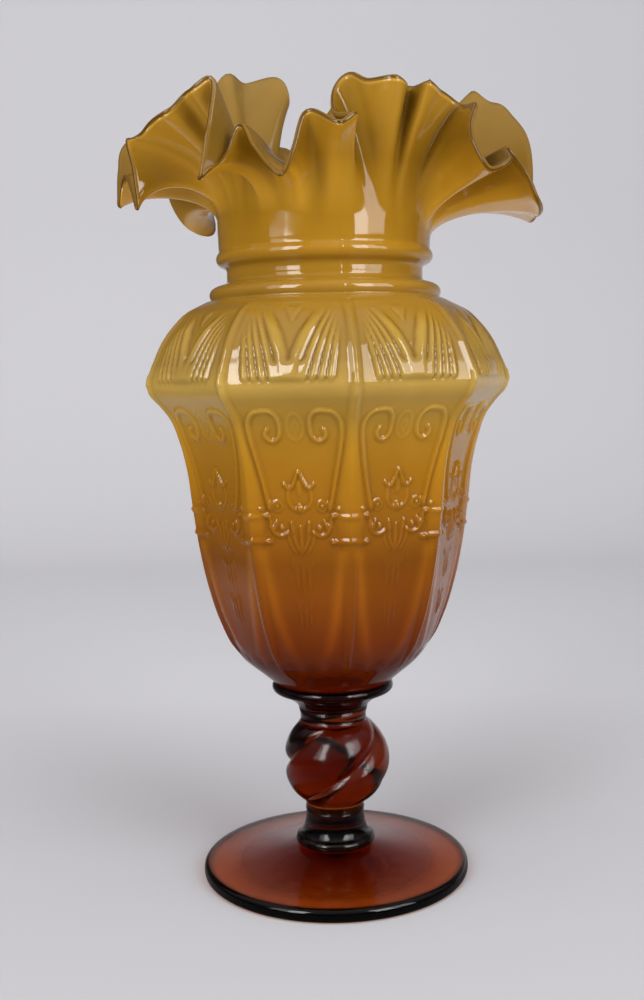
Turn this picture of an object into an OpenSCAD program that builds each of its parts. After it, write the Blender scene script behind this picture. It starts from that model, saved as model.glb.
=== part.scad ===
// Opaline vase: blown nine-panel bowl with a ruffled mouth, on a twisted stem and a disc foot.
// Millimetres, +Z up. The origin is the centre of the foot's flat underside.
// Turns are degrees round the vertical axis, from the front (-Y) towards +X.

/* [Foot] */
// Radius of the foot disc
foot_r = 61.6; // [50:0.2:75]
// Thickness of the disc at its rounded rim
foot_edge_h = 6; // [4:0.5:9]
// Rise of the domed top from the rim to the collar
foot_dome_h = 6.5; // [4:0.5:10]
// Rounding of the upper edge of the rim
foot_edge_round = 2.6; // [1:0.1:3.6]
// Rounding of the lower edge of the rim
foot_base_round = 2; // [0.5:0.1:2.4]

/* [Foot collar] */
// Radius of the collar's rounded lip on the foot
collar_lip_r = 18.4; // [16:0.2:24]
// Rounding of the collar's lip
collar_lip_round = 2.6; // [1:0.1:3.4]
// Height of the bell-shaped collar
collar_h = 17; // [12:0.5:24]
// Radius of the stem where it joins the collar
stem_low_r = 13.4; // [10:0.2:15]

/* [Twisted knop] */
// Length of the stem piece, from the collar to the merese
stem_h = 48.5; // [40:0.5:62]
// Radius of the knop over its lobes
knop_r = 24.6; // [21:0.2:29]
// Height of the knop's bulge
knop_h = 37.4; // [30:0.2:44]
// Length of the plain neck under the knop
stem_low_h = 4; // [2:0.5:8]
// Radius of the neck over the knop
stem_high_r = 15.2; // [12:0.2:17]
// Radius of the stem piece where it meets the merese
stem_top_r = 16; // [14:0.2:20]
// Number of twisted lobes
knop_lobes = 4; // [3:1:6]
// Turn of a lobe from the bottom of the knop to the top
knop_twist = 165; // [60:5:200]
// Turn of the first groove at half height
knop_turn = -75; // [-180:1:180]
// Largest amount, in degrees, by which a lobe stands off its even place
knop_uneven = 14; // [0:1:20]
// Amount by which the knop leans off the axis, to the right
knop_shift = 1.2; // [0:0.1:3]
// Depth of the grooves between the lobes
knop_groove = 3.8; // [2:0.2:6]

/* [Merese] */
// Radius of the merese, the flange under the bowl
merese_r = 28; // [26:0.2:33]
// Thickness of its rounded rim
merese_edge_h = 4.6; // [3:0.2:6]
// Height of the hollow flare under the rim
merese_cone_h = 7.5; // [4:0.5:10]

/* [Bowl] */
// Height from the merese to the ridge
bowl_h = 136; // [110:1:160]
// Height of the shoulder, from the ridge to the collar ring
shoulder_h = 37.6; // [30:0.5:46]
// Radius of the ridge at its corners
ridge_r = 81; // [72:0.5:90]
// Number of panels round the bowl
panels = 9; // [7:1:12]
// Turn of the rib nearest to the front
rib_turn = 8; // [0:1:40]
// Width of the ribs over the corners of the shoulder
rib_w = 4.6; // [3:0.2:6]
// Height of the ribs, and of the pilasters that they widen into below the ridge
rib_h = 1.1; // [0.4:0.1:2]
// Width of the sloping sides of the ribs and pilasters
rib_side_w = 0.7; // [0.4:0.1:1.2]
// Width of the scroll stems, bands and leaf lines in the panels
scroll_w = 2.4; // [1.6:0.1:3]
// Height of the scroll stems, bands and leaf lines
scroll_h = 0.8; // [0.3:0.1:1.2]

/* [Neck] */
// Radius of the large collar ring
collar_ring_r = 51.6; // [50:0.2:54]
// Height of the collar ring
collar_ring_h = 7; // [5:0.5:9]
// Radius of the groove between the rings
groove_r = 43.5; // [42:0.2:45]
// Height of the groove between the rings
groove_h = 6; // [4:0.5:9]
// Height of the small ring
small_ring_h = 7; // [5:0.5:9]
// Amount that the small ring stands out of the neck
small_ring_out = 0.5; // [0.2:0.1:1.5]
// Radius of the neck above the rings
neck_r = 47.2; // [45:0.2:49]
// Height of the plain neck
neck_h = 9.9; // [6:0.1:16]

/* [Ruffled mouth] */
// Furthest reach of the rim beyond the neck
rim_reach = 54; // [40:1:62]
// Highest rise of the rim over the neck
rim_rise = 82; // [60:1:96]
// Height by which the flare starts above its mean on the left, and below it on the right
flare_tilt_h = 4.5; // [0:0.5:6]

/* [Glass layers] */
// Wall of the amber casing
casing_wall = 1.4; // [1:0.1:1.8]
// Wall of the opal lining
lining_wall = 1.1; // [0.8:0.1:1.4]
// Share of both walls that is left at the rim, where the glass was drawn thin
rim_wall_share = 0.8; // [0.6:0.05:1]
// Thickness of the casing in the bottom of the bowl
casing_floor = 3.2; // [2:0.2:5]
// Allowance between the two layers
layer_gap = 0.06; // [0.02:0.02:0.2]

/* [Hidden] */

amber_dark = [0.30, 0.09, 0.02];
amber_deep = [0.38, 0.12, 0.03];
amber_light = [0.66, 0.42, 0.13];
opal_honey = [0.72, 0.52, 0.24];

// Heights of the seats, each worked out from the piece below
collar_z = foot_edge_h + foot_dome_h;
stem_z = collar_z + collar_h;
merese_z = stem_z + stem_h;
bowl_z = merese_z + merese_cone_h + merese_edge_h;
ridge_z = bowl_z + bowl_h;
neck_ring_z = ridge_z + shoulder_h;
neck_z = neck_ring_z + collar_ring_h + groove_h + small_ring_h;
flare_z = neck_z + neck_h;

// Fineness of the round pieces
round_fn = 120;
panel_turn = 360 / panels;
// Points round the glass: of its plain rings and its inside, of the neck, of the low flare
// and of the ruffles. All start on a corner and have as many points in every panel.
plain_count = 4 * panels;
neck_count = 5 * panels;
flare_count = 8 * panels;
ruffle_count = 16 * panels;

// Outline of the bowl below the ridge, without relief: share of bowl_h, share of ridge_r,
// share of full flatness in the panels
foot_shares = [
    [0, 0.33, 0],
    [0.04, 0.40, 0],
    [0.08, 0.48, 0.1]
];
// Outline above that, with relief: the same shares, then share of rib_h, half width of the rib
// as a share of rib_w, place of the scroll line from the panel's middle to its corner as
// a share, and share of scroll_h. The steps at 0.52 and 0.62 are the block on each pilaster.
bowl_shares = [
    [0.14, 0.56, 0.3, 0.3, 0.40, 0.44, 0.6],
    [0.23, 0.632, 0.6, 0.7, 0.50, 0.62, 0.8],
    [0.35, 0.694, 0.9, 0.8, 0.65, 0.73, 0.8],
    [0.48, 0.738, 1, 0.8, 0.85, 0.74, 0.4],
    [0.52, 0.749, 1, 0.8, 0.92, 0.50, 0.3],
    [0.53, 0.752, 1, 1.2, 1.60, 0.50, 0.7],
    [0.61, 0.768, 1, 1.2, 1.60, 0.54, 0.7],
    [0.62, 0.770, 1, 0.8, 1.40, 0.59, 1],
    [0.74, 0.795, 1, 0.8, 0.95, 0.74, 1],
    [0.83, 0.832, 1, 0.8, 0.65, 0.82, 1],
    [0.90, 0.878, 1, 0.8, 0.50, 0.79, 1],
    [0.943, 0.933, 1, 0.8, 0.50, 0.75, 0],
    [0.974, 0.981, 1, 0.8, 0.50, 0.50, 0],
    [1, 1, 1, 0.8, 0.50, 0.30, 0]
];
// Outline of the shoulder: share of shoulder_h, then the same shares as above. Its scroll
// line is the V of leaves that opens from the middle of the panel.
shoulder_shares = [
    [0.13, 0.992, 1, 1, 0.50, 0.08, 0.8],
    [0.32, 0.957, 0.95, 1, 0.50, 0.17, 1],
    [0.54, 0.906, 0.9, 1, 0.48, 0.27, 1],
    [0.72, 0.841, 0.8, 1, 0.46, 0.36, 1],
    [0.87, 0.764, 0.6, 1, 0.44, 0.42, 0.6],
    [1, 0.647, 0.2, 0.5, 0.40, 0.46, 0]
];

// Crimps of the rim, in order round the mouth: turn of the neck under it, turn of the rim,
// share of rim_reach beyond the neck, share of rim_rise over the neck
crimp_shares = [
    [2, 4, 0.44, 0.40],
    [6.5, 8, 0.42, 0.42],
    [10.5, 11, 0.40, 0.45],
    [14, 12, 0.35, 0.47],
    [18, 9, 0.25, 0.48],
    [21.5, 5.5, 0.18, 0.51],
    [24.5, 6, 0.13, 0.61],
    [27.5, 11, 0.18, 0.67],
    [30, 16, 0.32, 0.62],
    [33.5, 24, 0.50, 0.61],
    [38, 36, 0.24, 0.62],
    [42, 33, 0.54, 0.60],
    [46, 45, 0.40, 0.59],
    [50, 54, 0.40, 0.56],
    [54, 48, 0.63, 0.53],
    [58, 45, 0.64, 0.42],
    [62, 44, 0.70, 0.31],
    [66, 46, 0.80, 0.19],
    [70, 51, 0.90, 0.23],
    [75, 58, 0.76, 0.32],
    [80, 60, 0.90, 0.16],
    [86, 64, 0.94, 0.04],
    [92, 78, 0.86, 0.03],
    [98, 95, 0.84, 0.06],
    [103, 101, 0.93, 0.26],
    [108, 102, 0.92, 0.47],
    [113, 108, 0.85, 0.66],
    [118, 112, 0.77, 0.73],
    [124, 119, 0.67, 0.81],
    [130, 125.5, 0.74, 0.75],
    [135, 128, 0.58, 0.75],
    [140, 131, 0.43, 0.79],
    [145, 137, 0.37, 0.85],
    [150, 149, 0.57, 0.91],
    [158, 157, 0.33, 0.92],
    [166, 168, 0.42, 0.90],
    [175, 177, 0.42, 0.78],
    [184, 187, 0.56, 0.60],
    [193, 195, 0.44, 0.57],
    [200, 202, 0.37, 0.61],
    [206, 206, 0.28, 0.67],
    [211, 199, 0.24, 0.77],
    [216, 196, 0.24, 0.88],
    [221, 199, 0.32, 0.98],
    [226, 209, 0.52, 0.96],
    [230, 221, 0.43, 0.97],
    [235, 226, 0.66, 0.60],
    [239, 218, 0.74, 0.12],
    [244, 227, 0.83, 0.13],
    [249, 234, 0.85, 0.30],
    [256, 246, 0.61, 0.63],
    [263, 253, 0.88, 0.53],
    [269, 256, 0.90, 0.38],
    [275, 259, 0.88, 0.18],
    [281, 276, 0.72, 0.29],
    [287, 289, 0.66, 0.10],
    [292, 291, 0.69, 0.27],
    [296, 294, 0.76, 0.43],
    [300, 297, 0.66, 0.43],
    [304, 311, 0.67, 0.51],
    [308, 314, 0.55, 0.57],
    [312, 320, 0.59, 0.62],
    [316, 325, 0.53, 0.62],
    [320, 324, 0.54, 0.48],
    [324, 322, 0.54, 0.33],
    [328, 321, 0.57, 0.19],
    [332, 325, 0.53, 0.22],
    [335.5, 328, 0.42, 0.32],
    [339, 331, 0.37, 0.42],
    [343, 337, 0.42, 0.31],
    [348, 347, 0.53, 0.16],
    [352, 351, 0.39, 0.30],
    [357, 355, 0.31, 0.48]
];
crimps = len(crimp_shares);
// The flare turns over more flatly where the rim reaches further:
// height share of its arc at no reach, and how fast that share falls and where it stops
arch_start_share = 1.75;
arch_fall_share = 1.52;
arch_least_share = 0.4;
// Rows of the flare, as shares of the way from neck to rim: the first ones are coarser
flare_low_shares = [0, 0.15, 0.3];
flare_high_shares = [0.48, 0.66, 0.84, 1];
// Steps for measuring the slope of the flare
slope_turn = 0.4;
slope_share = 0.004;

// Point at a turn, a radius and a height
function at(turn, r, z) = [r * sin(turn), -r * cos(turn), z];

// Curve through four evenly spaced rows, at share f between the middle two
function between(p, q, r, s, f) =
    (2 * q + (r - p) * f + (2 * p - 5 * q + 4 * r - s) * f * f + (3 * q - p - 3 * r + s) * f * f * f) / 2;

// Row k of the crimps, counted on round the mouth
function crimp(k) =
    let (lap = floor(k / crimps), row = crimp_shares[k - lap * crimps])
    [row[0] + 360 * lap, row[1] + 360 * lap, row[2], row[3]];

// Count of crimps up to a turn of the neck
crimp_counts = [for (k = [-2:crimps + 1]) [crimp(k)[0], k]];

// Rim over a turn of the neck: turn, reach share and rise share
function rim(turn) =
    let (count = lookup(turn, crimp_counts), k = floor(count))
    between(crimp(k - 1), crimp(k), crimp(k + 1), crimp(k + 2), count - k);

// Point of the flare's outer face: an arc that leaves the neck upright and ends on the rim
function flare(turn, share) =
    let (
        edge = rim(turn),
        start_z = flare_z - flare_tilt_h * sin(edge[1]),
        out = edge[2] * rim_reach,
        arch = max(arch_least_share, min(1, arch_start_share - arch_fall_share * out / rim_reach)),
        up = (flare_z + edge[3] * rim_rise - start_z) / arch,
        half_bend = 90 - atan2(up, out),
        arc_r = norm([out, up]) / 2 / sin(half_bend),
        bend = 2 * half_bend * share,
        lean = (edge[1] - turn) * pow(share, 1.8)
    )
    at(turn + lean, neck_r + arc_r * (1 - cos(bend)), start_z + arch * arc_r * sin(bend));

// The same point, moved in by a wall along the slope of the glass
function flare_inside(turn, share, wall) =
    let (
        across = flare(turn + slope_turn, share) - flare(turn - slope_turn, share),
        along = flare(turn, share + slope_share) - flare(turn, max(0, share - slope_share)),
        way = cross(across, along)
    )
    flare(turn, share) - way / norm(way) * wall * (1 - (1 - rim_wall_share) * share);

function flare_ring(count, share, wall) =
    [for (j = [0:count - 1]) flare_inside(rib_turn + 360 * j / count, share, wall)];

// Place across a panel, from 0 on one corner to 1 on the next
function panel_share(turn) =
    let (place = (turn - rib_turn) / panel_turn)
    place - floor(place);

// How much of the corner radius a flat panel keeps
function flat_share(turn) =
    cos(panel_turn / 2) / cos((panel_share(turn) - 0.5) * panel_turn);

// Row of shares as sizes: height, corner radius, flatness, then of the relief the rib's height
// and half width, the place of the scroll line and its height
function sized(row, base_z, base_h) = [
    base_z + row[0] * base_h,
    row[1] * ridge_r,
    row[2],
    each len(row) == 3 ? [] : [row[3] * rib_h, row[4] * rib_w, row[5], row[6] * scroll_h]
];

bowl_rows = [
    for (row = foot_shares) sized(row, bowl_z, bowl_h),
    for (row = bowl_shares) sized(row, bowl_z, bowl_h),
    for (row = shoulder_shares) sized(row, ridge_z, shoulder_h)
];

// The two neck rings and the groove between them: height and radius
small_ring_z = neck_ring_z + collar_ring_h + groove_h;
small_ring_r = neck_r + small_ring_out;
neck_rows = [
    [neck_ring_z + 0.15 * collar_ring_h, collar_ring_r],
    [neck_ring_z + 0.42 * collar_ring_h, collar_ring_r * 0.985],
    [neck_ring_z + 0.78 * collar_ring_h, (collar_ring_r * 2 + groove_r) / 3],
    [neck_ring_z + collar_ring_h, groove_r * 1.015],
    [neck_ring_z + collar_ring_h + groove_h / 2, groove_r],
    [small_ring_z, groove_r * 1.015],
    [small_ring_z + 0.3 * small_ring_h, (groove_r + 3 * small_ring_r) / 4],
    [small_ring_z + 0.6 * small_ring_h, small_ring_r],
    [neck_z, neck_r]
];

// Inside of the neck, behind the rings: height and outer radius that the wall is measured from
inner_neck_rows = [
    [neck_ring_z + collar_ring_h / 2, (collar_ring_r + 3 * groove_r) / 4],
    [neck_ring_z + collar_ring_h + groove_h / 2, groove_r],
    [neck_z, (neck_r * 2 + groove_r) / 3]
];

function round_ring(count, r, z) = [for (j = [0:count - 1]) at(rib_turn + 360 * j / count, r, z)];

// Ring of the panelled form at a corner radius and a height
function panel_ring(count, r, flatness, z) =
    [for (j = [0:count - 1])
        let (turn = rib_turn + 360 * j / count)
        at(turn, r * (1 - flatness * (1 - flat_share(turn))), z)];

// Columns of the relief in half a panel: place from the middle, and height. From the corner on,
// they are the middle, edge and foot of the rib, then the crest and foot of the scroll line.
function relief_columns(row, half_w) =
    let (
        rib_foot = half_w - row[4] - rib_side_w,
        crest = min(row[5] * half_w, rib_foot - scroll_w / 2)
    )
    [[half_w, row[3]], [half_w - row[4], row[3]], [rib_foot, 0], [crest, row[6]], [crest - scroll_w / 2, 0]];

// Ring of the bowl's outside with its relief
function relief_ring(row) =
    let (
        half_w = row[1] * sin(panel_turn / 2),
        middle_r = row[1] * cos(panel_turn / 2),
        half = relief_columns(row, half_w),
        columns = [
            for (column = half) [-column[0], column[1]],
            [0, 0],
            for (k = [len(half) - 1:-1:1]) half[k]
        ]
    )
    [for (p = [0:panels - 1], column = columns)
        let (
            turn = rib_turn + (p + 0.5) * panel_turn + atan2(column[0], middle_r),
            r = row[1] * (1 - row[2] * (1 - flat_share(turn)))
        )
        at(turn, r + column[1], row[0])];

// Ring of the bowl's inside: the outer row k moved in square to the outline
function inner_bowl_ring(k, wall) =
    let (
        row = bowl_rows[k],
        below = bowl_rows[max(0, k - 1)],
        above = bowl_rows[min(len(bowl_rows) - 1, k + 1)],
        rise = above[0] - below[0],
        out = above[1] - below[1],
        slope = norm([rise, out]),
        in_r = row[1] - wall * rise / slope,
        z = row[0] + wall * out / slope
    )
    panel_ring(plain_count, in_r, row[2], z);

// Rows of the bowl's outline that the plainer inside follows
inner_rows = [3, 5, 10, 12, 14, 16, 17, 19, 21];
floor_share = 0.62;

// Inside of a layer, from the bowl's floor up to the rim
function inside_rings(wall, floor_h) = [
    round_ring(plain_count, bowl_rows[1][1] * floor_share, bowl_z + floor_h),
    round_ring(plain_count, bowl_rows[2][1] - wall, bowl_rows[2][0] + floor_h / 2),
    for (k = inner_rows) inner_bowl_ring(k, wall),
    for (row = inner_neck_rows) round_ring(plain_count, row[1] - wall, row[0]),
    flare_ring(plain_count, flare_low_shares[0], wall),
    flare_ring(flare_count, flare_low_shares[1], wall),
    flare_ring(flare_count, flare_low_shares[2], wall),
    for (share = flare_high_shares) flare_ring(ruffle_count, share, wall)
];

// Outer face of the casing, from the seat on the merese up to the rim
outside_rings = [
    for (row = bowl_rows) len(row) == 3 ? panel_ring(plain_count, row[1], row[2], row[0]) : relief_ring(row),
    for (row = neck_rows) round_ring(neck_count, row[1], row[0]),
    for (share = flare_low_shares) flare_ring(flare_count, share, 0),
    for (share = flare_high_shares) flare_ring(ruffle_count, share, 0)
];

function backwards(list) = [for (k = [len(list) - 1:-1:0]) list[k]];

// Triangles between two rings of any counts: each edge of a ring goes to the point of the other
// that is nearest to its middle, counted round. A strip on the way down is the one on the way up
// turned over, so that two layers with a face in common have the same triangles there.
function strip(low, low_n, high, high_n, down) =
    down ? [for (face = strip(high, high_n, low, low_n, false)) [face[0], face[2], face[1]]]
    : [
        for (j = [0:low_n - 1])
            let (k = ceil(((2 * j + 1) * high_n - low_n) / (2 * low_n)))
            [low + j, high + k % high_n, low + (j + 1) % low_n],
        for (k = [0:high_n - 1])
            let (j = floor(((2 * k + 1) * low_n + high_n) / (2 * high_n)))
            [high + k, high + (k + 1) % high_n, low + j % low_n]
    ];

// First point of each ring in a list of rings
function starts(rings, k = 0, sum = 0) =
    k == len(rings) ? [] : concat([sum], starts(rings, k + 1, sum + len(rings[k])));

// Closed solid through rings of points, up the outside and, if it is hollow, down the inside,
// with a flat fan over its first and last ring
module ringed_solid(up_rings, inside = []) {
    rings = concat(up_rings, backwards(inside));
    first = starts(rings);
    last = len(rings) - 1;
    points = [for (ring = rings) each ring];
    low_middle = len(points);
    axis_points = [[0, 0, rings[0][0][2]], [0, 0, rings[last][0][2]]];
    low_n = len(rings[0]);
    high_n = len(rings[last]);
    polyhedron(
        points = concat(points, axis_points),
        faces = [
            for (j = [0:low_n - 1]) [low_middle, j, (j + 1) % low_n],
            for (k = [0:last - 1])
                each strip(first[k], len(rings[k]), first[k + 1], len(rings[k + 1]), k >= len(up_rings)),
            for (j = [0:high_n - 1]) [low_middle + 1, first[last] + (j + 1) % high_n, first[last] + j]
        ],
        convexity = 10
    );
}

// Outer blown layer: bowl, ribs, neck rings and ruffle
module amber_casing() {
    color(amber_light)
        ringed_solid(outside_rings, inside_rings(casing_wall, casing_floor));
}

// Inner blown layer, fused to the casing over its whole face
module opal_lining() {
    seat_wall = casing_wall + layer_gap;
    seat_floor = casing_floor + layer_gap;
    color(opal_honey)
        ringed_solid(inside_rings(seat_wall, seat_floor),
                     inside_rings(seat_wall + lining_wall, seat_floor + lining_wall));
}

// Flange between stem and bowl, a rounded disc on a flared cone
module merese() {
    flare_steps = 6;
    edge_r = merese_edge_h / 2;
    edge_z = merese_z + merese_cone_h + edge_r;
    color(amber_deep)
        rotate_extrude($fn = round_fn)
            union() {
                polygon([
                    [0, merese_z],
                    for (k = [0:flare_steps])
                        let (share = k / flare_steps)
                        [stem_top_r + (merese_r - edge_r - stem_top_r) * pow(share, 1.6),
                         merese_z + merese_cone_h * share],
                    [merese_r - edge_r, bowl_z],
                    [0, bowl_z]
                ]);
                translate([merese_r - edge_r, edge_z])
                    circle(r = edge_r, $fn = 32);
            }
}

// Rows of the stem piece: the plain necks are round, and the knop swells between them
knop_columns = 28;
knop_steps = 16;
knop_z = stem_z + stem_low_h;
knop_top_z = knop_z + knop_h;

// Point of the knop in a column that winds up with the lobes, at a share of the knop's height
function knop_at(column, share) =
    let (
        neck = stem_low_r + (stem_high_r - stem_low_r) * share,
        swell = pow(max(0, sin(180 * share)), 0.62),
        groove = pow(1 - abs(sin(column * knop_lobes / 2)), 2),
        winding = knop_twist * (pow(share, 0.85) - 0.55),
        turn = column + knop_uneven * sin(column + knop_turn) + knop_turn + winding
    )
    at(turn, neck + (knop_r - neck) * swell - knop_groove * groove * swell, knop_z + knop_h * share)
        + [knop_shift * swell, 0, 0];

// Ring of one of the plain necks, with its columns turned to meet the knop's
function stem_ring(r, z, share) =
    [for (j = [0:knop_columns - 1])
        let (place = knop_at(360 * j / knop_columns, share))
        [place[0], place[1], 0] * (r / norm([place[0], place[1]])) + [0, 0, z]];

module twisted_knop() {
    top_h = merese_z - knop_top_z;
    color(amber_dark)
        ringed_solid([
            stem_ring(stem_low_r * 1.02, stem_z, 0),
            for (k = [0:knop_steps])
                let (share = k / knop_steps)
                [for (j = [0:knop_columns - 1]) knop_at(360 * j / knop_columns, share)],
            stem_ring(stem_high_r, knop_top_z + top_h * 0.5, 1),
            stem_ring(stem_top_r, merese_z, 1)
        ]);
}

// Bell between foot and stem, with a rounded lip
module foot_collar() {
    bell_steps = 10;
    lip_z = collar_z + 2 * collar_lip_round;
    bell_r = collar_lip_r - collar_lip_round * 0.6;
    color(amber_dark)
        rotate_extrude($fn = round_fn)
            union() {
                polygon([
                    [0, collar_z],
                    [collar_lip_r - collar_lip_round, collar_z],
                    for (k = [0:bell_steps])
                        let (angle = 90 * k / bell_steps)
                        [stem_low_r + (bell_r - stem_low_r) * (1 - sin(angle)),
                         lip_z - collar_lip_round * 0.4
                             + (stem_z - lip_z + collar_lip_round * 0.4) * (1 - cos(angle))],
                    [0, stem_z]
                ]);
                translate([collar_lip_r - collar_lip_round, collar_z + collar_lip_round])
                    circle(r = collar_lip_round, $fn = 32);
            }
}

// Disc with a rounded rim and a gently domed top
module foot() {
    dome_steps = 12;
    seat_r = collar_lip_r - collar_lip_round;
    edge_r = foot_r - foot_edge_round;
    color(amber_deep)
        rotate_extrude($fn = round_fn)
            polygon([
                [0, 0],
                [foot_r - foot_base_round, 0],
                for (k = [1:4])
                    let (angle = 90 * k / 4)
                    [foot_r - foot_base_round * (1 - sin(angle)), foot_base_round * (1 - cos(angle))],
                for (k = [0:6])
                    let (angle = 90 * k / 6)
                    [edge_r + foot_edge_round * cos(angle),
                     foot_edge_h - foot_edge_round * (1 - sin(angle))],
                for (k = [1:dome_steps])
                    let (share = k / dome_steps)
                    [edge_r + (seat_r - edge_r) * share,
                     foot_edge_h + foot_dome_h * pow(share, 1.6)],
                [0, collar_z]
            ]);
}

foot();
foot_collar();
twisted_knop();
merese();
amber_casing();
opal_lining();
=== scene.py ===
from math import cos, pi, radians, sin

import bpy
import numpy as np
from mathutils import Euler, Matrix, Vector


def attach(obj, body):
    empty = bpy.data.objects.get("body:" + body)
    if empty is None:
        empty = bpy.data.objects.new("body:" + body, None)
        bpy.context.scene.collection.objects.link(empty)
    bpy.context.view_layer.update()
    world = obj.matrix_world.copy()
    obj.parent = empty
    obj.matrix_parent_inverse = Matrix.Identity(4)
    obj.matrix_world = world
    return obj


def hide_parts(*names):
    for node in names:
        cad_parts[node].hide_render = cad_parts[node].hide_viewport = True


# Dressing of the opaline vase. The forms below follow the solids and refine them: the same
# outlines, crimps and layers, in finer steps and with the moulded relief of the bowl.
# Lengths are millimetres until a mesh is made, and metres in the studio.
# Turns are degrees from the front (-Y) towards +X.
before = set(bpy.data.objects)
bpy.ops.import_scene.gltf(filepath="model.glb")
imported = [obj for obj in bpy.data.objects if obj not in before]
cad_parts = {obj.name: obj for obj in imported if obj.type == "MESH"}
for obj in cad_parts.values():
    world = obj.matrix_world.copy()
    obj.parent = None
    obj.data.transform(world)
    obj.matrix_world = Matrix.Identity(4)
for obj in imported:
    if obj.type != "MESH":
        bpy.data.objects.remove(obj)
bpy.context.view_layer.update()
MM = 0.001

# Sizes, as in the solids
FOOT_R, FOOT_EDGE_H, FOOT_DOME_H = 61.6, 6, 6.5
FOOT_EDGE_ROUND, FOOT_BASE_ROUND = 2.6, 2
COLLAR_LIP_R, COLLAR_LIP_ROUND, COLLAR_H, STEM_LOW_R = 18.4, 2.6, 17, 13.4
STEM_H, KNOP_R, KNOP_H, STEM_LOW_H, STEM_HIGH_R, STEM_TOP_R = 48.5, 24.6, 37.4, 4, 15.2, 16
KNOP_LOBES, KNOP_TWIST, KNOP_TURN, KNOP_UNEVEN = 4, 165, -75, 14
KNOP_SHIFT, KNOP_GROOVE = 1.2, 3.8
MERESE_R, MERESE_EDGE_H, MERESE_CONE_H = 28, 4.6, 7.5
BOWL_H, SHOULDER_H, RIDGE_R, PANELS, RIB_TURN = 136, 37.6, 81, 9, 8
COLLAR_RING_R, COLLAR_RING_H, GROOVE_R, GROOVE_H = 51.6, 7, 43.5, 6
SMALL_RING_H, NECK_R, NECK_H = 7, 47.2, 9.9
RIM_REACH, RIM_RISE, FLARE_TILT = 54, 82, 4.5
CASING_WALL, LINING_WALL, RIM_WALL_SHARE, CASING_FLOOR, LAYER_GAP = 1.4, 1.1, 0.8, 3.2, 0.06
FULL_WALL = CASING_WALL + LAYER_GAP + LINING_WALL

COLLAR_Z = FOOT_EDGE_H + FOOT_DOME_H
STEM_Z = COLLAR_Z + COLLAR_H
MERESE_Z = STEM_Z + STEM_H
BOWL_Z = MERESE_Z + MERESE_CONE_H + MERESE_EDGE_H
RIDGE_Z = BOWL_Z + BOWL_H
NECK_RING_Z = RIDGE_Z + SHOULDER_H
SMALL_RING_Z = NECK_RING_Z + COLLAR_RING_H + GROOVE_H
NECK_Z = SMALL_RING_Z + SMALL_RING_H
FLARE_Z = NECK_Z + NECK_H
PANEL_TURN = 360 / PANELS

# Outline of the bowl: share of its height, share of the ridge's radius, flatness of the panels
BOWL_SHARES = [
    (0, 0.33, 0), (0.04, 0.40, 0), (0.08, 0.48, 0.1), (0.14, 0.56, 0.3), (0.23, 0.632, 0.6),
    (0.35, 0.694, 0.9), (0.48, 0.738, 1), (0.62, 0.770, 1), (0.74, 0.795, 1), (0.83, 0.832, 1),
    (0.90, 0.878, 1), (0.943, 0.933, 1), (0.974, 0.981, 1), (1, 1, 1)]
SHOULDER_SHARES = [
    (0.13, 0.992, 1), (0.32, 0.957, 0.95), (0.54, 0.906, 0.9), (0.72, 0.841, 0.8),
    (0.87, 0.764, 0.6), (0.95, 0.695, 0.4), (1, 0.647, 0.2)]

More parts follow.
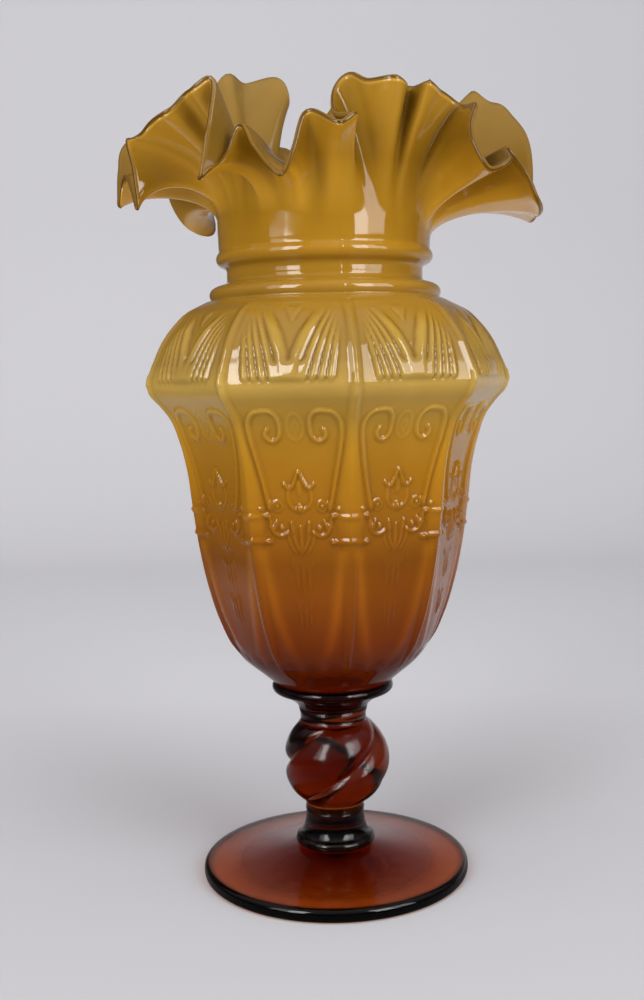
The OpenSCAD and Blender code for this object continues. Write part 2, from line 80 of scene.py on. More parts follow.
# Crimps of the rim: turn of the neck under it, turn of the rim, shares of reach and rise
CRIMP_SHARES = [
    (2, 4, 0.44, 0.40), (6.5, 8, 0.42, 0.42), (10.5, 11, 0.40, 0.45), (14, 12, 0.35, 0.47),
    (18, 9, 0.25, 0.48), (21.5, 5.5, 0.18, 0.51), (24.5, 6, 0.13, 0.61), (27.5, 11, 0.18, 0.67),
    (30, 16, 0.32, 0.62), (33.5, 24, 0.50, 0.61), (38, 36, 0.24, 0.62), (42, 33, 0.54, 0.60),
    (46, 45, 0.40, 0.59), (50, 54, 0.40, 0.56), (54, 48, 0.63, 0.53), (58, 45, 0.64, 0.42),
    (62, 44, 0.70, 0.31), (66, 46, 0.80, 0.19), (70, 51, 0.90, 0.23), (75, 58, 0.76, 0.32),
    (80, 60, 0.90, 0.16), (86, 64, 0.94, 0.04), (92, 78, 0.86, 0.03), (98, 95, 0.84, 0.06),
    (103, 101, 0.93, 0.26), (108, 102, 0.92, 0.47), (113, 108, 0.85, 0.66),
    (118, 112, 0.77, 0.73), (124, 119, 0.67, 0.81), (130, 125.5, 0.74, 0.75),
    (135, 128, 0.58, 0.75), (140, 131, 0.43, 0.79), (145, 137, 0.37, 0.85),
    (150, 149, 0.57, 0.91), (158, 157, 0.33, 0.92), (166, 168, 0.42, 0.90),
    (175, 177, 0.42, 0.78), (184, 187, 0.56, 0.60), (193, 195, 0.44, 0.57),
    (200, 202, 0.37, 0.61), (206, 206, 0.28, 0.67), (211, 199, 0.24, 0.77),
    (216, 196, 0.24, 0.88), (221, 199, 0.32, 0.98), (226, 209, 0.52, 0.96),
    (230, 221, 0.43, 0.97), (235, 226, 0.66, 0.60), (239, 218, 0.74, 0.12),
    (244, 227, 0.83, 0.13), (249, 234, 0.85, 0.30), (256, 246, 0.61, 0.63),
    (263, 253, 0.88, 0.53), (269, 256, 0.90, 0.38), (275, 259, 0.88, 0.18),
    (281, 276, 0.72, 0.29), (287, 289, 0.66, 0.10), (292, 291, 0.69, 0.27),
    (296, 294, 0.76, 0.43), (300, 297, 0.66, 0.43), (304, 311, 0.67, 0.51),
    (308, 314, 0.55, 0.57), (312, 320, 0.59, 0.62), (316, 325, 0.53, 0.62),
    (320, 324, 0.54, 0.48), (324, 322, 0.54, 0.33), (328, 321, 0.57, 0.19),
    (332, 325, 0.53, 0.22), (335.5, 328, 0.42, 0.32), (339, 331, 0.37, 0.42),
    (343, 337, 0.42, 0.31), (348, 347, 0.53, 0.16), (352, 351, 0.39, 0.30),
    (357, 355, 0.31, 0.48)]
# The flare turns over more flatly where the rim reaches further, and leans round to its crimps
ARCH_START_SHARE, ARCH_FALL_SHARE, ARCH_LEAST_SHARE = 1.75, 1.52, 0.4
LEAN_POWER = 1.8
# Steps for measuring the slope of the flare
SLOPE_TURN, SLOPE_SHARE = 0.4, 0.004

# Columns of points round casing and lining, as many in every panel, the first on a rib
COLUMNS = 68 * PANELS
TURNS = RIB_TURN + 360 * np.arange(COLUMNS) / COLUMNS


def at(turn, r, z):
    """Points at turns, radii and heights, as an array with x, y, z last."""
    turn, r, z = np.broadcast_arrays(np.radians(turn), r, z)
    return np.stack([r * np.sin(turn), -r * np.cos(turn), z], axis=-1)


def through(x, xs, values):
    """Smooth curve through the points (xs, values), read at x."""
    xs, values = np.asarray(xs, float), np.asarray(values, float)
    slopes = np.gradient(values, xs)
    k = np.clip(np.searchsorted(xs, x) - 1, 0, len(xs) - 2)
    step = xs[k + 1] - xs[k]
    t = np.clip((x - xs[k]) / step, 0, 1)
    return ((2 * t**3 - 3 * t**2 + 1) * values[k] + (t**3 - 2 * t**2 + t) * step * slopes[k]
            + (3 * t**2 - 2 * t**3) * values[k + 1] + (t**3 - t**2) * step * slopes[k + 1])


def smoothstep(x, low, high):
    """Smooth rise from 0 at low to 1 at high."""
    t = np.clip((x - low) / (high - low), 0, 1)
    return t * t * (3 - 2 * t)


# The ruffled flare. Small ripples run along parts of its rim: (turn, share of the rise).
# A slower ripple on top, with shares of their size and count, keeps them uneven.
RIPPLE_SHARES = [
    (0, 0.004), (60, 0.004), (120, 0.010), (170, 0.010), (200, 0.004), (285, 0.006),
    (295, 0.016), (322, 0.016), (335, 0.006), (360, 0.004)]
RIPPLES, SLOW_SIZE_SHARE, SLOW_COUNT_SHARE = 47, 0.5, 0.36


def ripple(turn):
    """Share of the rise that the ripples add at turns of the neck."""
    size = np.interp(np.asarray(turn) % 360, *zip(*RIPPLE_SHARES))
    angle = np.radians(RIPPLES * np.asarray(turn))
    return size * (np.sin(angle) + SLOW_SIZE_SHARE * np.sin(SLOW_COUNT_SHARE * angle + 1))


def rim(turn):
    """Rim over turns of the neck: turn, reach share and rise share."""
    rows = np.array(CRIMP_SHARES, float)
    laps = np.concatenate([rows + [360 * lap, 360 * lap, 0, 0] for lap in (-1, 0, 1, 2)])
    place = np.interp(turn, laps[:, 0], np.arange(len(laps)))
    k = np.floor(place).astype(int)
    f = (place - k)[..., None]
    p, q, r, s = laps[k - 1], laps[k], laps[k + 1], laps[k + 2]
    curve = (2 * q + (r - p) * f + (2 * p - 5 * q + 4 * r - s) * f**2
             + (3 * q - p - 3 * r + s) * f**3) / 2
    return curve[..., 1], curve[..., 2], curve[..., 3] + ripple(turn)


def flare(turn, share):
    """The flare's outer face: an arc that leaves the neck upright and ends on the rim."""
    edge_turn, reach, rise = rim(turn)
    start_z = FLARE_Z - FLARE_TILT * np.sin(np.radians(edge_turn))
    out = reach * RIM_REACH
    arch = np.clip(ARCH_START_SHARE - ARCH_FALL_SHARE * reach, ARCH_LEAST_SHARE, 1)
    up = (FLARE_Z + rise * RIM_RISE - start_z) / arch
    half_bend = pi / 2 - np.arctan2(up, out)
    arc_r = np.hypot(out, up) / 2 / np.sin(half_bend)
    bend = 2 * half_bend * share
    lean = (edge_turn - turn) * share**LEAN_POWER
    z = start_z + arch * arc_r * np.sin(bend)
    return at(turn + lean, NECK_R + arc_r * (1 - np.cos(bend)), z)


def flare_ways(turn, share):
    """Which way the flare's outer face looks, as unit vectors."""
    across = flare(turn + SLOPE_TURN, share) - flare(turn - SLOPE_TURN, share)
    along = flare(turn, share + SLOPE_SHARE) - flare(turn, np.maximum(0, share - SLOPE_SHARE))
    way = np.cross(across, along)
    return way / np.linalg.norm(way, axis=-1, keepdims=True)


def flare_rows(shares, wall):
    """Rings of the flare at shares of the way to the rim, moved in by a wall."""
    turn, share = np.meshgrid(TURNS, shares)
    points = flare(turn, share)
    if wall == 0:
        return points
    way = flare_ways(turn, share)
    thinning = 1 - (1 - RIM_WALL_SHARE) * share[..., None]
    return points - way * wall * thinning


# The bowl's outline in mm, from the shares above
OUTLINE_Z = np.array([BOWL_Z + a * BOWL_H for a, _, _ in BOWL_SHARES]
                     + [RIDGE_Z + a * SHOULDER_H for a, _, _ in SHOULDER_SHARES])
OUTLINE_R = np.array([b * RIDGE_R for _, b, _ in BOWL_SHARES + SHOULDER_SHARES])
OUTLINE_FLAT = np.array([c for _, _, c in BOWL_SHARES + SHOULDER_SHARES])


def corner_r(z):
    """Radius of the bowl at its ribs."""
    return through(z, OUTLINE_Z, OUTLINE_R)


def bowl_r(turn, z, wall=0):
    """Radius of the panelled bowl, without its relief, moved in by a wall."""
    place = ((turn - RIB_TURN) / PANEL_TURN) % 1
    flat = cos(radians(PANEL_TURN / 2)) / np.cos(np.radians((place - 0.5) * PANEL_TURN))
    flatness = np.interp(z, OUTLINE_Z, OUTLINE_FLAT)
    return (corner_r(z) - wall) * (1 - flatness * (1 - flat))


# Relief of one panel. Strokes run smoothly through (mm from the panel's middle, height in mm),
# with a half width at each end and a share of the full stroke's height. All are mirrored.
SCROLL = [
    ([(12.9, 176), (15.2, 187), (17.6, 198), (19.2, 206), (19.4, 211.5), (17.4, 215.2),
      (13.6, 216.3), (9.4, 216.0), (7.0, 213.4), (6.4, 209.4), (7.2, 205.8), (9.6, 204.0),
      (12.0, 204.9), (12.9, 207.2), (11.9, 209.0)], 1.0, 0.9, 0.95),
    ([(12.9, 178.4), (12.7, 175.6)], 1.0, 0.7, 1.1)]
FLEUR = [
    ([(0.2, 191.6), (1.5, 188.4), (3.0, 185.4)], 0.6, 0.85, 1.05),
    ([(3.2, 185.0), (4.8, 184.6), (6.6, 186.6)], 0.8, 0.6, 0.9),
    ([(0, 186.4), (0, 182.5)], 1.9, 1.3, 0.45),
    ([(4.9, 183.2), (4.9, 179.4), (3.2, 176.4), (0, 174.8)], 0.8, 0.9, 0.5),
    ([(0, 176.6), (0, 175.6)], 1.3, 1.3, 1.0)]
SWAG = [
    ([(12.9, 168.4), (11.2, 165.6), (8.4, 164.6), (5.4, 166.0)], 0.9, 0.7, 0.75),
    ([(13.2, 172.4), (12.5, 168.6)], 0.4, 0.8, 0.9),
    ([(10.2, 171.2), (11.6, 167.4)], 0.4, 0.8, 0.9),
    ([(8.1, 168.2), (8.1, 167.6)], 1.0, 1.0, 0.8),
    ([(3.9, 170.4), (3.2, 166.4)], 0.5, 0.8, 0.85),
    ([(0, 168.6), (0, 163), (0, 157.6)], 0.7, 1.2, 0.5),
    ([(3.2, 167.6), (2.9, 163), (1.2, 158.6)], 0.6, 0.8, 0.5),
    ([(5.8, 165.4), (4.9, 161.4), (2.8, 157.6)], 0.5, 0.7, 0.4)]


def ring(x, z, half_w, half_h, angles):
    """Points of an oval, or of its right half, round its middle at x, z."""
    return [(x + half_w * sin(a), z + half_h * cos(a)) for a in angles]


OVAL = [
    (ring(0, 209.8, 3.6, 5.4, np.linspace(0, pi, 9)), 0.7, 0.7, 0.25),
    ([(0, 212.0), (1.5, 209.8), (0, 207.4)], 0.6, 0.6, 0.15)]
ROSETTE = [
    (ring(9.6, 177.2, 1.9, 2.1, np.linspace(0, 2 * pi, 9)), 0.5, 0.5, 0.5),
    ([(9.7, 177.4), (9.7, 176.9)], 0.8, 0.8, 0.9)]


def flower(z, size):
    """Small hanging flower with its bud at a height."""
    return [
        ([(0, z + 0.3), (0, z)], 1.4 * size, 1.4 * size, 0.5),
        ([(4.6 * size, z + 2.8), (1.8 * size, z + 0.4)], 0.6, 1.1 * size, 0.4),
        ([(0, z - 2.2), (0, z - 9 * size)], 1.1, 0.5, 0.3),
        ([(2.8 * size, z - 1.8), (2.3 * size, z - 7.5 * size)], 1.0, 0.5, 0.3)]


STROKES = SCROLL + FLEUR + SWAG + OVAL + ROSETTE + flower(149.4, 1) + flower(132.4, 0.85)
# Height of a full stroke, and where its crest ends and its foot lies, as shares of its half width
STROKE_H, CREST_SHARE, SPREAD_SHARE = 1.4, 0.1, 1.3
# Straight pieces that a stroke has between two of its points, and how full a rounded top is
STROKE_PIECES, ROUND_POWER = 5, 0.65

# Half width of the pilaster on each rib by height, and place by height of the soft light bands
# beside its lower part, as a share of half a panel
PILASTER = [
    (100, 1.4), (130, 2.6), (150, 3.4), (160, 4.2), (174, 6.2), (188, 4.7), (200, 3.2),
    (212, 2.4), (222, 2.2), (262, 2.0)]
BAND_SHARES = [
    (104, 0.26), (108, 0.34), (115, 0.54), (129, 0.69), (142, 0.76), (156, 0.84), (160, 0.86)]
BAND_W, BAND_H = 2.5, 0.5
BAND_IN, BAND_OUT = (104, 116), (156, 161)
# The pilaster's shaft rises between two heights, thins over the ridge and ends under the neck
SHAFT_H, THIN_SHARE = 1.05, 0.35
SHAFT_IN, SHAFT_THIN, SHAFT_OUT = (99, 112), (222, 228), (256, 263)
# The cuff half way up it, like a spool: a plain drum between two rolls, which end in beads
CUFF_LOW, CUFF_HIGH, CUFF_W = 161.2, 173.8, 6.3
DRUM_H, ROLL_H, BEAD_H, BEAD_W = 0.95, 0.85, 1.5, 1.0
WAIST_SHARE, FLARED_SHARE, ROLL_SHARE, ROLL_HALF_SHARE = 0.84, 0.26, 0.86, 0.26
DRUM_END_SHARES, ROLL_FALL_SHARE = (0.9, 1.08), 0.5
BEADS = [(7.4, CUFF_HIGH - 0.8), (7.4, CUFF_LOW + 0.8), (5.4, CUFF_HIGH + 2.2)]
# The bead at the foot of the rounded rib over the ridge
RIB_BEAD, RIB_BEAD_W, RIB_BEAD_H = [(0, 231.0), (0, 227.4)], (1.6, 2.2), 1.2

# Lines between the leaf blades of the shoulder, each from its lower end to its upper end:
# (mm from the panel's middle, height in mm). The first is the inside of the central V.
BLADE_LINES = [
    [(0.3, 228.5), (0.3, 239.0), (3.2, 247.0), (8.5, 256.0)],
    [(4.6, 228.5), (6.9, 239.0), (9.9, 247.0), (13.4, 256.0)],
    [(8.2, 228.5), (10.6, 239.0), (13.0, 247.0), (15.9, 256.0)],
    [(12.2, 228.5), (14.1, 239.0), (15.9, 247.0), (17.4, 256.0)],
    [(15.8, 228.5), (17.2, 239.0), (18.2, 247.0), (18.5, 256.0)],
    [(19.4, 228.5), (19.9, 239.0), (19.8, 247.0), (19.2, 256.0)]]
BLADE_TOPS = [258, 258, 257, 255, 252]
BLADE_FOOT, BLADE_H, BLADE_FADE = 228.4, 1.6, 9
# Half width from which a blade has its full height, how far a wider one goes over it, and where
# the central V opens
BLADE_FULL_W, BLADE_MOST_SHARE, V_OPENS = 1.9, 1.1, (234, 238)
# The small wedge in the middle of the V
WEDGE_FOOT, WEDGE_SLOPE, WEDGE_H = 251.5, 0.55, 0.6
WEDGE_IN, WEDGE_OUT, WEDGE_EDGE = (251, 252.5), (256.5, 258), (-0.8, 0.6)
# Leaf tips round the foot of the bowl, three in a panel
TIP_Z, TIP_H, TIPS, TIP_EDGE, TIP_IN, FRINGE_H = 105, 3.6, 3, 2.4, (92, 96), 0.45
# Painted light: the lower shaft is made brighter between the first two heights and the last two,
# and the blades brighter towards their tops
LIT_IN, LIT_OUT, LIT_SHARE = (158, 170), (198, 216), 0.55
BLADE_LIT, BLADE_LIT_SHARE = (236, 244), 0.5


def stroke(x, z, points, start_w, end_w, height):
    """Rounded raised line through points, as heights over the grid x, z."""
    if len(points) > 2:
        places = np.arange(len(points))
        fine = np.linspace(0, len(points) - 1, STROKE_PIECES * (len(points) - 1) + 1)
        points = list(zip(*(through(fine, places, values) for values in zip(*points))))
    best = np.zeros_like(x)
    count = len(points) - 1
    for k in range(count):
        (ax, az), (bx, bz) = points[k], points[k + 1]
        span = (bx - ax) ** 2 + (bz - az) ** 2
        t = np.clip(((x - ax) * (bx - ax) + (z - az) * (bz - az)) / span, 0, 1)
        away = np.hypot(x - ax - t * (bx - ax), z - az - t * (bz - az))
        width = start_w + (end_w - start_w) * (k + t) / count
        best = np.maximum(best, height * (1 - smoothstep(away / width, CREST_SHARE, SPREAD_SHARE)))
    return best


def round_over(share):
    """Rounded top over a share of the half width, 1 in the middle and 0 from the edge on."""
    return np.clip(1 - share**2, 0, 1) ** ROUND_POWER


def blades(x, z):
    """Leaf blades of the shoulder: rounded ridges with sharp lines between, round at their feet."""
    lines = [np.interp(z, [p[1] for p in line], [p[0] for p in line]) for line in BLADE_LINES]
    height = np.zeros_like(z)
    for low, high, top in zip(lines[:-1], lines[1:], BLADE_TOPS):
        half = (high - low) / 2
        across = (x - low - half) / half
        if top == BLADE_TOPS[0]:
            joined = 1 - smoothstep(z, *V_OPENS)
            across = np.where(across < 0, across * (1 - joined), across)
        end = np.clip((BLADE_FOOT + half - z) / half, 0, 1)
        round_top = np.clip(1 - across**2 - end**2, 0, 1)
        fade = 1 - smoothstep(z, top - BLADE_FADE, top)
        full = np.clip(half / BLADE_FULL_W, 0, BLADE_MOST_SHARE)
        height = np.maximum(height, round_top * fade * full)
    return height


def cuff_and_shaft(off_rib, z):
    """Heights of the pilaster's shaft and of its cuff, by mm off the rib."""
    width = through(z, *zip(*PILASTER))
    stands = (smoothstep(z, *SHAFT_IN) * (1 - THIN_SHARE * smoothstep(z, *SHAFT_THIN))
              * (1 - smoothstep(z, *SHAFT_OUT)))
    shaft = SHAFT_H * round_over(off_rib / width) * stands
    along = np.abs(2 * z - CUFF_LOW - CUFF_HIGH) / (CUFF_HIGH - CUFF_LOW)
    cuff_w = CUFF_W * (WAIST_SHARE + FLARED_SHARE * np.clip(along, 0, 1) ** 2)
    roll = round_over((along - ROLL_SHARE) / ROLL_HALF_SHARE)
    roll *= 1 - ROLL_FALL_SHARE * np.clip(off_rib / cuff_w, 0, 1) ** 2
    drum = DRUM_H * (1 - smoothstep(along, *DRUM_END_SHARES))
    return shaft, round_over(off_rib / cuff_w) * (drum + ROLL_H * roll)


def panel_relief(place, z):
    """Relief of one panel: height in mm, and how bright its glass is made from -1 to 1, with
    painted light on the lower shaft and the blades.
    """
    half = corner_r(z) * sin(radians(PANEL_TURN / 2))
    share = np.abs(place - 0.5) * 2
    x = half * share
    off_rib = half - x
    shaft, cuff = cuff_and_shaft(off_rib, z)
    leaves = blades(x, z)
    band = np.abs(share - np.interp(z, *zip(*BAND_SHARES))) * half
    bands = np.exp(-(band / BAND_W) ** 2) * smoothstep(z, *BAND_IN) * (1 - smoothstep(z, *BAND_OUT))
    wedge = 1 - smoothstep(x - (z - WEDGE_FOOT) * WEDGE_SLOPE, *WEDGE_EDGE)
    wedge = wedge * smoothstep(z, *WEDGE_IN) * (1 - smoothstep(z, *WEDGE_OUT))
    forms = [stroke(x, z, points, start_w, end_w, STROKE_H * top)
             for points, start_w, end_w, top in STROKES]
    forms += [shaft, cuff, stroke(off_rib, z, RIB_BEAD, *RIB_BEAD_W, RIB_BEAD_H)]
    forms += [stroke(off_rib, z, [(bx, bz), (bx - 1.0, bz)], BEAD_W, BEAD_W, BEAD_H)
              for bx, bz in BEADS]
    forms += [BAND_H * bands, BLADE_H * leaves, WEDGE_H * wedge]
    height = np.max(forms, axis=0)
    tips = TIP_Z + TIP_H * np.abs(np.sin(TIPS * pi * place)) - z
    fringe = smoothstep(tips, 0, TIP_EDGE) * smoothstep(z, *TIP_IN)
    height = height + FRINGE_H * fringe
    lit_shaft = np.minimum(shaft, 1) * smoothstep(z, *LIT_IN) * (1 - smoothstep(z, *LIT_OUT))
    bright = (bands + LIT_SHARE * lit_shaft
              + BLADE_LIT_SHARE * leaves * smoothstep(z, *BLADE_LIT))
    return height, np.clip(bright, 0, 1) - fringe


def relief(z_rows):
    """The same all round the bowl, as grids of rows and columns."""
    place, z = np.meshgrid(np.arange(COLUMNS // PANELS) * PANELS / COLUMNS, z_rows)
    return [np.tile(values, (1, PANELS)) for values in panel_relief(place, z)]


# Mould seams: turn from one to the next, height, and their crest and foot in degrees
SEAM_TURN, SEAM_H, SEAM_EDGE = 120, 0.13, (0.2, 1.6)


def seam(z):
    """Low ridges over the neck rings, in line with every third rib."""
    off = np.abs((TURNS - RIB_TURN + SEAM_TURN / 2) % SEAM_TURN - SEAM_TURN / 2)
    starts = smoothstep(z, NECK_RING_Z - 2, NECK_RING_Z + 2)
    return SEAM_H * (1 - smoothstep(off, *SEAM_EDGE)) * starts


# The neck rings: a round collar ring, a straight groove and a round small ring, as
# (height over the ring's foot, radius)
NECK_OUTLINE = [
    (-0.6, 50.4), (0.2, 51.0), (1.2, 51.5), (2.4, 51.7), (3.8, 51.4), (5.2, 50.3), (6.3, 48.2),
    (7.0, 45.6), (7.6, 44.2), (8.4, 43.8), (10.5, 43.7), (13.2, 43.8), (14.0, 44.1),
    (14.5, 45.2), (15.3, 46.8), (16.6, 47.9), (18.0, 48.3), (19.4, 48.1), (20.6, 47.5),
    (21.4, 47.0), (22.2, 47.0), (24, 47.1)]


def neck_outline(z):
    """Radius of the neck and its rings."""
    zs, rs = zip(*NECK_OUTLINE)
    return through(z - NECK_RING_Z, zs, rs)


# Rows of the casing's outer face, closer together where the relief is finest
BOWL_ROWS = np.concatenate([
    np.linspace(BOWL_Z, 156, 36, endpoint=False), np.linspace(156, 218, 84, endpoint=False),
    np.linspace(218, NECK_RING_Z, 56, endpoint=False)])
NECK_ROWS = NECK_RING_Z + np.linspace(0, NECK_OUTLINE[-1][0], 40)
FLARE_SHARES = np.linspace(0, 1, 36) ** 0.9
# Rows of the faces inside: up the bowl, past the rings and, between the layers, up the flare
HIDDEN_ROWS = np.linspace(BOWL_Z + 8, NECK_RING_Z, 12)
BACK_SHARES = np.linspace(0, 1, 14)
INNER_NECK_ROWS = [(NECK_RING_Z + COLLAR_RING_H / 2, (COLLAR_RING_R + 3 * GROOVE_R) / 4),
                   (NECK_RING_Z + COLLAR_RING_H + GROOVE_H / 2, GROOVE_R),
                   (NECK_Z, (NECK_R * 2 + GROOVE_R) / 3)]
# The flat of the bowl's floor, and the height up to which its edge is rounded
FLOOR_R, FLOOR_EDGE_R, FLOOR_EDGE_Z = 0.62 * 0.40 * RIDGE_R, 0.44 * RIDGE_R, BOWL_Z + 0.05 * BOWL_H


def inside_rows(wall, floor_h, shares):
    """Rings of an inner face from the bowl's floor up to the rim."""
    rings = [at(TURNS, FLOOR_R, BOWL_Z + floor_h),
             at(TURNS, FLOOR_EDGE_R - wall, FLOOR_EDGE_Z + floor_h * 0.7)]
    for z in HIDDEN_ROWS:
        rise = corner_r(z + 0.5) - corner_r(z - 0.5)
        slope = float(np.hypot(1, rise))
        rings.append(at(TURNS, bowl_r(TURNS, z, wall / slope), z + wall * rise / slope))
    rings += [at(TURNS, r - wall, z) for z, r in INNER_NECK_ROWS]
    return rings + list(flare_rows(shares, wall))


# How dark the glass is over the rim's lip, ring by ring from a layer's outside to its inside,
# how far the lip stands out over half the wall, and where its slope is taken from
LIP_DARK_SHARES = [0, 0.3, 1, 0.4, 0]
LIP_OUT_SHARE, LIP_FROM_SHARE = 0.8, 0.985


def lip(outer_wall, inner_wall):
    """Rings over the rounded rim, from one wall's depth to another's."""
    near, edge = flare_rows([LIP_FROM_SHARE, 1], 0)
    inner = flare_rows([1], FULL_WALL)[0]
    middle, half = (edge + inner) / 2, (edge - inner) / 2
    ahead = edge - near
    ahead *= (np.linalg.norm(half, axis=-1, keepdims=True)
              / np.linalg.norm(ahead, axis=-1, keepdims=True))
    depths = np.linspace(outer_wall, inner_wall, len(LIP_DARK_SHARES))
    angles = np.arccos(1 - 2 * depths / FULL_WALL)
    return [middle + half * cos(a) + LIP_OUT_SHARE * ahead * sin(a) for a in angles]


def ringed_mesh(name, rings, marks=None):
    """Closed mesh through rings of equal counts, with a point in each end and marks by point."""
    rings = np.array([np.asarray(r) for r in rings])
    count, columns = rings.shape[:2]
    ends = [[0, 0, rings[0, 0, 2]], [0, 0, rings[-1, 0, 2]]]
    points = np.concatenate([rings.reshape(-1, 3), ends]) * MM
    row, col = np.meshgrid(np.arange(count - 1), np.arange(columns), indexing="ij")
    ahead = (col + 1) % columns
    squares = np.stack([row * columns + col, row * columns + ahead,
                        (row + 1) * columns + ahead, (row + 1) * columns + col], axis=-1)
    j = np.arange(columns)
    k = (j + 1) % columns
    last = (count - 1) * columns
    first_end, last_end = count * columns, count * columns + 1
    fans = np.concatenate([np.stack([np.full(columns, first_end), k, j], axis=-1),
                           np.stack([np.full(columns, last_end), last + j, last + k], axis=-1)])
    mesh = bpy.data.meshes.new(name)
    mesh.from_pydata(points.tolist(), [], squares.reshape(-1, 4).tolist() + fans.tolist())
    mesh.shade_smooth()
    for key, values in (marks or {}).items():
        layer = mesh.attributes.new(key, "FLOAT", "POINT")
        layer.data.foreach_set("value", np.append(np.asarray(values, float).reshape(-1), [0, 0]))
    piece = bpy.data.objects.new(name, mesh)
    bpy.context.scene.collection.objects.link(piece)
    return piece


# Mean radius of the bowl, for the slope of the relief across the columns
MEAN_R = 62


def casing_piece():
    turn, z = np.meshgrid(TURNS, BOWL_ROWS)
    height, bright = relief(BOWL_ROWS)
    body = list(at(turn, bowl_r(turn, z) + height, z))
    body += [at(TURNS, neck_outline(row) + seam(row), row) for row in NECK_ROWS]
    flare_start, rim_start = len(body), len(body) + len(FLARE_SHARES) - 1
    rim_rings = lip(0, CASING_WALL)
    rings = body + list(flare_rows(FLARE_SHARES[1:], 0)) + rim_rings
    rings += inside_rows(CASING_WALL, CASING_FLOOR, BACK_SHARES)[::-1]

    step = 2 * pi * MEAN_R / COLUMNS
    # How hollow the relief is: it carries painted shade into its hollows and painted highlights
    # onto its crests
    hollow = np.gradient(np.gradient(height, BOWL_ROWS, axis=0), BOWL_ROWS, axis=0)
    hollow += np.gradient(np.gradient(height, step, axis=1), step, axis=1)
    # Painted light: where the flare's outer face looks down it is made lighter, as if lit through
    # the glass
    downward = -flare_ways(*np.meshgrid(TURNS, FLARE_SHARES[1:]))[..., 2]
    marks = {key: np.zeros((len(rings), COLUMNS)) for key in ("painted_through_light", "groove", "bright", "edge")}
    marks["painted_through_light"][flare_start:rim_start] = np.clip(downward, 0, 1)
    marks["groove"][:len(BOWL_ROWS)] = np.clip(hollow, -1, 1)
    marks["bright"][:len(BOWL_ROWS)] = bright
    marks["edge"][rim_start:rim_start + len(rim_rings)] = np.reshape(LIP_DARK_SHARES, (-1, 1))
    return ringed_mesh("casing_glass", rings, marks)


def lining_piece():
    seat = CASING_WALL + LAYER_GAP
    rings = inside_rows(seat, CASING_FLOOR + LAYER_GAP, BACK_SHARES) + lip(seat, FULL_WALL)
    rings += inside_rows(FULL_WALL, CASING_FLOOR + LAYER_GAP + LINING_WALL, FLARE_SHARES)[::-1]
    return ringed_mesh("lining_glass", rings)


# Stem and foot, with points round each. The foot is ground flat underneath, out to a radius,
# with rings of points there, and its rim is painted dark between two radii, as painted shade.
ROUND, FOOT_ROUND, KNOP_ROUND = 160, 240, 128
GROUND_R, GROUND_RINGS, RIM_EDGE = 54, (8, 20, 30, 36, 40, 44, 48, 52), (FOOT_R - 5, FOOT_R - 1)
DOME_POWER, FLARE_POWER = 1.6, 1.6


def arc(cx, cz, r, start, end, steps):
    """Points of an arc in a section, from one angle to another, 0 pointing outwards."""
    angles = np.radians(np.linspace(start, end, steps))
    return [(cx + r * cos(a), cz + r * sin(a)) for a in angles]


def turned(name, section, columns=ROUND, **marks):
    """Piece turned from a section of (radius, height), bottom up, with marks by its points."""
    turns = 360 * np.arange(columns) / columns
    spread = {key: [np.full(columns, value) for value in values] for key, values in marks.items()}
    return ringed_mesh(name, [at(turns, r, z) for r, z in section], spread)


def foot_piece():
    seat_r, edge_r = COLLAR_LIP_R - COLLAR_LIP_ROUND, FOOT_R - FOOT_EDGE_ROUND
    section = [(r, 0) for r in (*GROUND_RINGS, RIM_EDGE[0])]
    section += arc(FOOT_R - FOOT_BASE_ROUND, FOOT_BASE_ROUND, FOOT_BASE_ROUND, -90, 0, 9)
    section += arc(edge_r, FOOT_EDGE_H - FOOT_EDGE_ROUND, FOOT_EDGE_ROUND, 0, 82, 12)
    section += [(edge_r + (seat_r - edge_r) * s, FOOT_EDGE_H + FOOT_DOME_H * s**DOME_POWER)
                for s in np.linspace(0, 1, 30)[1:]]
    section += [(r, COLLAR_Z) for r in (seat_r * 0.6, seat_r * 0.2)]
    # Painted shade over the foot's rim
    edge = [smoothstep(r, *RIM_EDGE) for r, _ in section]
    ground = [1 - smoothstep(r, 0.7 * GROUND_R, GROUND_R) if z == 0 else 0 for r, z in section]
    return turned("foot_glass", section, FOOT_ROUND, edge=edge, ground=ground)


def collar_piece():
    r, round_r = COLLAR_LIP_R, COLLAR_LIP_ROUND
    lip_z = COLLAR_Z + 2 * round_r
    bell_r = r - round_r * 0.6
    section = [(r * 0.3, COLLAR_Z), (r - round_r * 1.4, COLLAR_Z)]
    section += arc(r - round_r, COLLAR_Z + round_r, round_r, -90, 62, 18)
    low = lip_z - round_r * 0.12
    section += [(STEM_LOW_R + (bell_r - STEM_LOW_R) * (1 - sin(a)),
                 low + (STEM_Z - low) * (1 - cos(a))) for a in np.radians(np.linspace(6, 90, 18))]
    section += [(STEM_LOW_R * 0.4, STEM_Z)]
    return turned("collar_glass", section)


def merese_piece():
    edge_r = MERESE_EDGE_H / 2
    spread = MERESE_R - edge_r - STEM_TOP_R
    section = [(STEM_TOP_R * 0.4, MERESE_Z)]
    section += [(STEM_TOP_R + spread * s**FLARE_POWER, MERESE_Z + MERESE_CONE_H * s)
                for s in np.linspace(0, 1, 16)]
    section += arc(MERESE_R - edge_r, BOWL_Z - edge_r, edge_r, -84, 90, 20)
    section += [(MERESE_R * 0.5, BOWL_Z)]
    return turned("merese_glass", section)


KNOP_Z = STEM_Z + STEM_LOW_H
KNOP_TOP_Z = KNOP_Z + KNOP_H
# How full the bulge is, how sharp its grooves are, and how the lobes wind: the power and the
# share of the height at which they stand at their stated turn
SWELL_POWER, GROOVE_POWER, WIND_POWER, WIND_MIDDLE_SHARE = 0.62, 2, 0.85, 0.55


